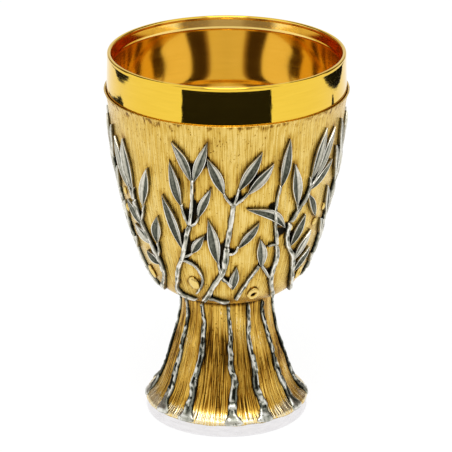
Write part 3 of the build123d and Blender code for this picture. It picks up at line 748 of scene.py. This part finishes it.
def build_branches(wall, silver):
    """The branch lines, each used twice, half a turn apart. Returns all their points."""
    points = []
    number = 0
    for turn in (0, 180):
        for line in BRANCHES:
            number += 1
            build = Builder()
            turned_line = [(a + turn, max(z, HEM_Z)) for a, z in line]
            add_stem(build, wall, turned_line, BRANCH_ROOT_W, BRANCH_TOP_W, BRANCH_T, 40 + number, 0.9, 0.14,
                     BRANCH_FLARE)
            name = f"foot_branch_{number:02d}"
            points.append(build.finish(f"bark_{name}", silver, "stand", "branch_silver", [name]))
    return np.concatenate(points)


def distance_to(points, others):
    tree = kdtree.KDTree(len(others))
    for i, p in enumerate(others):
        tree.insert(p, i)
    tree.balance()
    return np.array([tree.find(p)[2] for p in points])


def crowding(heights, silver_points, reach_rows, reach_columns):
    """How much of the wall round each point of its grid is covered by silver, from 0 to 1."""
    covered = np.zeros((len(heights), SIDES))
    turn = np.arctan2(silver_points[:, 0], -silver_points[:, 1]) / (2 * math.pi) * SIDES
    column = np.round(turn).astype(int) % SIDES
    row = np.clip(np.searchsorted(heights, silver_points[:, 2]), 0, len(heights) - 1)
    covered[row, column] = 1
    filled = np.zeros_like(covered)
    for d in (-1, 0, 1):
        filled = np.maximum(filled, np.roll(covered, d, 1))
    rows = np.pad(filled, ((reach_rows, reach_rows), (0, 0)), mode="edge")
    total = sum(rows[d:d + len(heights)] for d in range(2 * reach_rows + 1))
    total = sum(np.roll(total, d, 1) for d in range(-reach_columns, reach_columns + 1))
    return (total / ((2 * reach_rows + 1) * (2 * reach_columns + 1))).reshape(-1)


def level_rings(outline, angles):
    """Rings of points at each (radius, height) of an outline."""
    a = np.radians(angles)
    return np.array([np.stack([r * np.sin(a), -r * np.cos(a), np.full(len(a), z)], -1) for r, z in outline])


def build_calyx(wall, silver_points, gilt):
    """The tooled bowl: its outer wall row by row, its flared rim, its plain inside, and its gilt olives."""
    flare = Wall(CALYX_FLARE)
    angles = np.arange(SIDES) * 360 / SIDES
    rows = [wall.place(angles, np.full(SIDES, s), 0.0) for s in np.linspace(0.5, wall.length, CALYX_ROWS)]
    rows += [flare.place(angles, np.full(SIDES, s), 0.0) for s in np.linspace(1.0, flare.length, FLARE_ROWS)]
    outside = np.concatenate(rows)
    z = outside[:, 2]
    radial = outside * (1, 1, 0)
    radial /= np.linalg.norm(radial, axis=1)[:, None]
    keep = smoothstep(z, 62.5, 66) * (1 - smoothstep(z, 159.5, 161.5))
    swell = noise_at(outside, (0.12, 0.12, 0.06), 2)
    blots = noise_at(outside, (0.35, 0.35, 0.3), 4)
    height = 0.22 * swell
    pits = np.zeros(len(outside))
    # Painted shade on the flat wall: black in each eye's middle and in the gaps between crossing leaves, with
    # some patina, and a dark ring round the foot of each eye and olive
    for turn in (0, 180):
        for angle, at, size, thick in EYES:
            d = np.linalg.norm(outside - wall.place(angle + turn, wall.s_at(at), 0.0), axis=1)
            pits += 1.1 * (1 - smoothstep(d, 0.5 * size, size))
            pits += 0.3 * np.exp(-((d - size - 0.5 * thick) / 0.7) ** 2)
        for angle, at, size in SHADED_HOLLOWS:
            d = np.linalg.norm(outside - wall.place(angle + turn, wall.s_at(at), 0.0), axis=1)
            pits += 1.1 * (1 - smoothstep(d, 0.6 * size, size))
        for angle, at, _, width, _ in OLIVES:
            d = np.linalg.norm(outside - wall.place(angle + turn, wall.s_at(at), 0.0), axis=1)
            pits += 0.35 * np.exp(-((d - 0.62 * width) / 0.9) ** 2)
    outside = outside + radial * (height * keep)[:, None]
    near = distance_to(outside, silver_points)
    crowd = crowding(np.array([r[0, 2] for r in rows]), silver_points, 2, 5)
    edge = 1 - smoothstep(near, 0.2, 0.65)
    # Painted shade, with some patina: round the raised silver and in the crotches between stems. Darker at
    # the waist, and patina under the rim.
    patina = 0.10 + 0.26 * edge * (0.8 + 1.6 * blots) + 0.17 * (1 - smoothstep(near, 0.6, 3.4)) + pits
    patina += 0.8 * smoothstep(crowd, 0.70, 0.86) * (1 - smoothstep(near, 0.9, 2.0))
    patina += 0.05 * (1 - smoothstep(z, 72, 118)) + 0.06 * smoothstep(z, 115, 140)
    patina += 0.2 * (1 - smoothstep(z, 62.5, 64.5)) + 0.3 * smoothstep(z, 158.0, 160.2) * (blots > 0.18)
    inner = [(RIM_R, RIM_Z), (RIM_R - 0.1, RIM_Z + 0.15), (RIM_R - 0.7, RIM_Z + 0.15)]
    inner += [(BAND_R + 0.38, RIM_Z), (BAND_R + 0.36, RIM_Z - 1.5), (54.6, RIM_Z - 3.8)]
    inner += smooth_curve(CALYX_HOLLOW, CALYX_HOLLOW_ROWS).tolist()
    inner += [(BORE_R, CALYX_FLOOR_Z), (BORE_R, WAIST_Z - SPIGOT_H)]
    inner += [(SPIGOT_R - 0.02, WAIST_Z - SPIGOT_H), (SPIGOT_R - 0.02, WAIST_Z - 0.1)]
    rings = np.concatenate([outside.reshape(len(rows), SIDES, 3), level_rings(inner, angles)])
    build = Builder()
    build.add_rings(rings, np.concatenate([patina, np.full(len(inner) * SIDES, 0.15)]), closed=True)
    for turn in (0, 180):
        for angle, at, length, width, lean in OLIVES:
            add_olive(build, wall, angle + turn, at, length, width, lean)
        for angle, at, size, thick in EYES:
            add_eye(build, wall, angle + turn, at, size, thick)
    build.finish("tooled_calyx", gilt, "stand", "calyx_gilt", ["calyx"])


def build_foot(wall, silver_points, gilt):
    """The bark-grooved foot, with an uneven hem that hangs over the ring, its socket and its hollow."""
    angles = np.arange(SIDES) * 360 / SIDES
    rows = [level_rings([(RING_R + 0.03, HEM_Z + 0.2)], angles)[0]]
    rows += [wall.place(angles, np.full(SIDES, s), 0.0) for s in np.linspace(0, wall.length, FOOT_ROWS)]
    outside = np.concatenate(rows)
    z = outside[:, 2]
    radial = outside * (1, 1, 0)
    radial /= np.linalg.norm(radial, axis=1)[:, None]
    sway = noise_at(np.stack([radial[:, 0] * 3, radial[:, 1] * 3, z * 0.07], 1), seed=7) * 0.05
    turned_x = radial[:, 0] * np.cos(sway) - radial[:, 1] * np.sin(sway)
    turned_y = radial[:, 0] * np.sin(sway) + radial[:, 1] * np.cos(sway)
    warped = np.stack([turned_x, turned_y, z], 1)
    groove = np.exp(-(noise_at(warped, (16, 16, 0.03), 8) / 0.1) ** 2)
    crack = np.exp(-(noise_at(warped, (42, 42, 0.05), 9) / 0.16) ** 2)
    patches = smoothstep(noise_at(warped, (1.8, 1.8, 0.05), 11), -0.25, 0.35)
    keep = smoothstep(z, 6.8, 9) * (1 - 0.75 * smoothstep(z, 46, 54)) * (0.35 + 0.65 * patches)
    depth = (0.2 * groove + 0.25 * crack) * keep
    outside = outside + radial * (0.12 * smoothstep(z, 8, 10) - depth)[:, None]
    outside[:, 2] += 0.7 * noise_at(warped, (6, 6, 0), 21) * (1 - smoothstep(z, HEM_Z, 9))
    near = distance_to(outside, silver_points)
    # The dark deposit in the grooves, painted shade round the raised branches, and darker at the waist. The
    # hem's gilding is rubbed bright, and its pale gilt also paints in the white glint there.
    patina = 0.19 + (0.12 * groove + 0.26 * crack) * keep + 0.17 * patches * smoothstep(z, 9, 14)
    patina += 0.25 * (1 - smoothstep(near, 0.15, 0.6)) * (0.5 + 0.8 * patches) * smoothstep(z, 9, 14)
    patina += 0.6 * smoothstep(z, 59.5, 61.8) - 0.36 * np.exp(-((z - 8.6) / 2.2) ** 2)
    socket_r, socket_z = SPIGOT_R + 0.1, WAIST_Z - SPIGOT_H - 0.1
    inner = [(WAIST_R - 3, WAIST_Z), (socket_r, WAIST_Z), (socket_r, socket_z), (BORE_R, socket_z)]
    inner += [(BORE_R, WEB_Z)] + smooth_curve(FOOT_HOLLOW, FOOT_HOLLOW_ROWS).tolist()
    inner += [(34.0, 10.2), (35.0, RING_H), (38.0, RING_H + 0.02)]
    rings = np.concatenate([outside.reshape(len(rows), SIDES, 3), level_rings(inner, angles)])
    build = Builder()
    build.add_rings(rings, np.concatenate([patina, np.full(len(inner) * SIDES, 0.3)]), closed=True)
    build.finish("bark_foot", gilt, "stand", "foot_gilt", ["foot"])


def build_cup(gilt):
    """The spun cup: inside, bevelled lip, polished band, and the wall that the calyx hides."""
    bottom = (0.0, CUP_FLOOR_Z + CUP_T)
    bowl = [(8.1, CUP_FLOOR_Z + CUP_T + 0.7)] + CUP_INSIDE[1:]
    across = [(-r, z) for r, z in reversed(bowl)] + [bottom] + bowl
    inside = [bottom] + smooth_curve(across, 2 * CUP_INSIDE_ROWS - 1)[CUP_INSIDE_ROWS:].tolist()
    inside += along([CUP_INSIDE[-1], (53.05, BEVEL_Z + 0.8), (53.75, LIP_Z - 1.6)], 0.4)[1:].tolist()
    lip = corner((LIP_R - 0.05 - LIP_ROUND, LIP_Z - LIP_ROUND), LIP_ROUND, 195, 0, 14)
    band = along([lip[-1], (LIP_R, LIP_Z - 1.4), (BAND_R, RIM_Z)], 0.6)[1:].tolist()
    band += [(BAND_R - 0.1, RIM_Z - 0.6), (BAND_R - 0.5, RIM_Z - 1.0)]
    outside = [(53.3, RIM_Z - 1.8)] + smooth_curve(CUP_OUTSIDE, CUP_OUTSIDE_ROWS).tolist()
    outside.append((0.0, CUP_FLOOR_Z))
    points, faces = turned(inside + lip + band + outside, CUP_SIDES)
    faces = [f[::-1] for f in faces]
    satin = (np.hypot(points[:, 0], points[:, 1]) < 53.8) * 1.0
    make_piece("spun_cup", points, faces, satin, gilt, "cup_assembly", ["cup"])


def build_ring(silver):
    """The foot ring, with softened edges and a slightly uneven outside."""
    low, high = 1.2, 0.5  # roundings at the foot and the top of its outside
    outline = [(RING_INSIDE_R, RING_LEDGE_Z), (RING_INSIDE_R, 0.3)]
    outline += along([(RING_INSIDE_R + 0.3, 0), (RING_R - low, 0)], 1).tolist()
    outline += corner((RING_R - low, low), low, -90, 0, 7)
    outline += along([(RING_R, low), (RING_R, RING_H - high)], 0.7)[1:].tolist()
    outline += corner((RING_R - high, RING_H - high), high, 0, 90, 5)
    outline += [(36.5, RING_H), (34.9, RING_H), (34.3, RING_LEDGE_Z)]
    points, faces = turned(outline, RING_SIDES)
    outer = (np.hypot(points[:, 0], points[:, 1]) > 37) & (points[:, 2] > 0.5)
    uneven = 0.004 * noise_at(points[outer], (0.3, 0.3, 0.6), 5) - 0.0005
    points[outer] += points[outer] * (1, 1, 0) * uneven[:, None]
    bright = np.zeros(len(points))
    make_piece("silver_foot_ring", points, faces, bright, silver, "stand", ["foot_ring"])


def dress_fixings(steel, brass):
    """The hidden fixings keep their CAD shapes and get turned-metal finishes."""
    finishes = {"tie_rod": steel, "washer": steel, "spring_washer": steel, "nut": steel,
                "cup_boss": brass, "locating_pin": brass}
    for name, finish in finishes.items():
        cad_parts[name].data.materials.clear()
        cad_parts[name].data.materials.append(finish)


# ---------------------------------------------------------------- stage, light and camera

def polar(distance, azimuth, z):
    """A point at a distance and angle round the chalice, in metres."""
    a = math.radians(azimuth)
    return (distance * math.sin(a), -distance * math.cos(a), z)


def arc(distance, start, end):
    """Corners (distance, angle) every two degrees or so along an arc."""
    return [(distance, a) for a in np.linspace(start, end, round(abs(end - start) / 2) + 1)]


def show_in_reflections(mesh, name, glow):
    """A mesh as a panel that only shows in reflections. glow is its radiance or an attribute's name."""
    m = bpy.data.materials.new(name)
    m.use_nodes = True
    tree = m.node_tree
    tree.nodes.clear()
    emit = node(tree, "ShaderNodeEmission")
    if isinstance(glow, str):
        glow = node(tree, "ShaderNodeAttribute", attribute_name=glow).outputs["Fac"]
        warm = ramp(tree, glow, [(0.0, (1, 0.62, 0.42)), (0.4, (1, 0.80, 0.62)), (0.85, 1.0)])
        feed(tree, emit.inputs["Color"], warm)
    feed(tree, emit.inputs["Strength"], glow)
    tree.links.new(emit.outputs[0], node(tree, "ShaderNodeOutputMaterial").inputs["Surface"])
    mesh.materials.append(m)
    panel = bpy.data.objects.new(name, mesh)
    bpy.context.scene.collection.objects.link(panel)
    panel.visible_camera = False
    panel.visible_diffuse = False
    panel.visible_shadow = False
    panel.visible_transmission = False


def card(name, corners, radiance):
    """A flat studio panel that only shows in reflections."""
    mesh = bpy.data.meshes.new(name)
    mesh.from_pydata(corners, [], [tuple(range(len(corners)))])
    show_in_reflections(mesh, name, radiance)


def build_floor():
    """A pale floor that glows enough to stay white in the camera, with room for a faint shadow."""
    mesh = bpy.data.meshes.new("floor")
    corners = [(x * FLOOR_HALF, y * FLOOR_HALF, 0) for x, y in ((-1, -1), (1, -1), (1, 1), (-1, 1))]
    mesh.from_pydata(corners, [], [(0, 1, 2, 3)])
    m, tree, shader = metal("floor_white")
    shader.inputs["Metallic"].default_value = 0
    shader.inputs["Base Color"].default_value = (0.16, 0.16, 0.16, 1)
    shader.inputs["Roughness"].default_value = 0.9
    shader.inputs["Specular IOR Level"].default_value = 0
    shader.inputs["Emission Color"].default_value = (1, 1, 1, 1)
    shader.inputs["Emission Strength"].default_value = 0.86
    mesh.materials.append(m)
    floor = bpy.data.objects.new("floor", mesh)
    bpy.context.scene.collection.objects.link(floor)


def build_surround():
    """The studio as the polished metal sees it: walls that glow by angle and height, and dark flags."""
    angles = np.arange(0, 360, 2)
    away = np.abs((angles + 180) % 360 - 180)
    heights = np.linspace(0, SURROUND_H, 25)
    glows = np.interp(away, *zip(*SURROUND[0][1]))[None, :]
    for (start, end), table in SURROUND[1:]:
        share = smoothstep(heights, start, end)[:, None]
        glows = glows * (1 - share) + np.interp(away, *zip(*table))[None, :] * share
    points = [polar(SURROUND_R, a, z) for z in heights for a in angles]
    mesh = bpy.data.meshes.new("surround")
    mesh.from_pydata(points, [], band_faces(len(heights), len(angles)))
    glow = mesh.attributes.new("glow", "FLOAT", "POINT")
    glow.data.foreach_set("value", glows.astype(np.float32).reshape(-1))
    show_in_reflections(mesh, "surround", "glow")
    card("ceiling", [polar(SURROUND_R, a, SURROUND_H) for a in range(0, 360, 20)], 0.9)
    for number, (corners, radiance) in enumerate(FLAGS, 1):
        card(f"flag_{number}", [polar(r, a, 0.002) for r, a in corners], radiance)


def softbox(name, place, width, height, radiance):
    """A rectangular area light that points at the chalice and shows this bright in its reflections."""
    data = bpy.data.lights.new(name, "AREA")
    data.shape = "RECTANGLE"
    data.size = width
    data.size_y = height
    data.energy = radiance * math.pi * width * height
    light = bpy.data.objects.new(name, data)
    light.location = place
    light.rotation_euler = (Vector((0, 0, 0.1)) - Vector(place)).to_track_quat("-Z", "Y").to_euler()
    bpy.context.scene.collection.objects.link(light)


def build_world():
    world = bpy.data.worlds.new("studio")
    bpy.context.scene.world = world
    world.use_nodes = True
    world.node_tree.nodes["Background"].inputs["Color"].default_value = (1, 1, 1, 1)
    world.node_tree.nodes["Background"].inputs["Strength"].default_value = 0.9


def build_camera():
    data = bpy.data.cameras.new("camera")
    data.sensor_width = 36
    data.lens = CAMERA_LENS
    data.shift_x = CAMERA_SHIFT
    camera = bpy.data.objects.new("camera", data)
    camera.location = CAMERA_PLACE
    camera.rotation_euler = (math.radians(90 - CAMERA_DOWN), 0, 0)
    bpy.context.scene.collection.objects.link(camera)
    bpy.context.scene.camera = camera


# ---------------------------------------------------------------- the studio and the chalice

CAMERA_PLACE = (0, -1.3345, 0.6083)  # metres
CAMERA_DOWN = 21.13  # degrees below level
CAMERA_LENS = 240.3
CAMERA_SHIFT = -0.0015

# How bright the studio looks from the chalice: from which height (start and end of the change, in metres),
# and then (degrees from the front, radiance)
SURROUND = [
    ((0, 0), [(0, 0.42), (14, 0.42), (20, 0.26), (44, 0.26), (54, 1.1), (102, 1.1), (108, 0.05), (140, 0.04),
              (148, 0.3), (154, 0.85), (180, 0.85)]),
    ((0.4, 0.6), [(0, 0.9), (50, 1.0), (100, 1.1), (110, 0.25), (140, 0.25), (150, 0.6), (180, 0.9)]),
    ((0.95, 1.15), [(0, 0.9), (16, 0.9), (21, 0.4), (24, 0.4), (29, 1.05), (88, 1.05), (94, 0.06),
                    (126, 0.05), (135, 0.3), (142, 0.9), (180, 0.85)]),
]
SURROUND_R = 2.4
SURROUND_H = 4.2
FLOOR_HALF = 6
# Dark flags on the floor, as corners (distance, angle) and radiance. The front one has torn sides.
FLAG_NEAR, FLAG_FAR, FLAG_HALF = 0.47, 0.72, 41
FLAG_DEPTHS = [FLAG_NEAR + i / 24 * (FLAG_FAR - FLAG_NEAR) for i in range(25)]
FLAGS = [
    (arc(FLAG_NEAR, -FLAG_HALF, FLAG_HALF)
     + [(r, FLAG_HALF + 0.55 * math.sin(2.6 * i) * (i % 4)) for i, r in enumerate(FLAG_DEPTHS)]
     + arc(FLAG_FAR, FLAG_HALF, -FLAG_HALF)
     + [(r, -FLAG_HALF + 0.8 * math.sin(1.9 * i)) for i, r in enumerate(reversed(FLAG_DEPTHS))], 0.018),
    (arc(0.64, 148, 98) + [(0.575, 116), (0.562, 124), (0.572, 140)], 0.01),
    ([(0.53, 113), (0.53, 119), (0.556, 118), (0.560, 115.5)], 0.02),
    (arc(0.64, -98, -142) + [(0.585, -124)], 0.02),
    ([(0.50, -150), (0.518, -146), (0.535, -130), (0.558, -117), (0.55, -111), (0.50, -111)], 0.02),
]

calyx_wall = Wall(CALYX_OUTLINE)
foot_wall = Wall(FOOT_OUTLINE)
silver = old_silver("sprig_silver", [
    (0.95, 0.93, 0.85), (0.62, 0.59, 0.49), (0.30, 0.30, 0.24), (0.09, 0.095, 0.07),
    (0.008, 0.009, 0.006)], 0.24, 0.1)
bark_silver = old_silver("branch_silver", [
    (0.82, 0.82, 0.76), (0.52, 0.52, 0.45), (0.24, 0.25, 0.20), (0.07, 0.075, 0.06),
    (0.008, 0.009, 0.006)], 0.3, 0.45)
sprig_points = build_sprigs(calyx_wall, silver)
branch_points = build_branches(foot_wall, bark_silver)
build_calyx(calyx_wall, sprig_points, tooled_gilt("calyx_gilt", [
    (0.85, 0.63, 0.21), (0.83, 0.60, 0.175), (0.67, 0.43, 0.075), (0.36, 0.18, 0.02),
    (0.010, 0.008, 0.004)], 0.0007, 0.36, 0.27, 0.0003))
# The foot gilt's palest colour is for the rubbed hem, where it also paints in the white glint
build_foot(foot_wall, branch_points, tooled_gilt("foot_gilt", [
    (0.97, 0.84, 0.55), (0.92, 0.63, 0.15), (0.76, 0.46, 0.07), (0.36, 0.16, 0.012),
    (0.03, 0.014, 0.003)], 0.0010, 0.5, 0.34, 0.0006))
build_cup(polished_gilt())
build_ring(brushed("ring_silver", (0.76, 0.745, 0.755), (0.86, 0.845, 0.855), 0.006, 0.25))
dress_fixings(brushed("fixing_steel", (0.42, 0.42, 0.42), (0.62, 0.62, 0.63), 0.0014, 0.3),
              brushed("boss_brass", (0.55, 0.40, 0.16), (0.72, 0.55, 0.26), 0.0014, 0.3))
build_floor()
build_surround()
softbox("top", (0, -0.7, 1.4), 0.7, 0.8, 4.0)
build_world()
build_camera()

scene = bpy.context.scene
scene.view_settings.view_transform = "Standard"
scene.cycles.max_bounces = 24
scene.cycles.glossy_bounces = 24
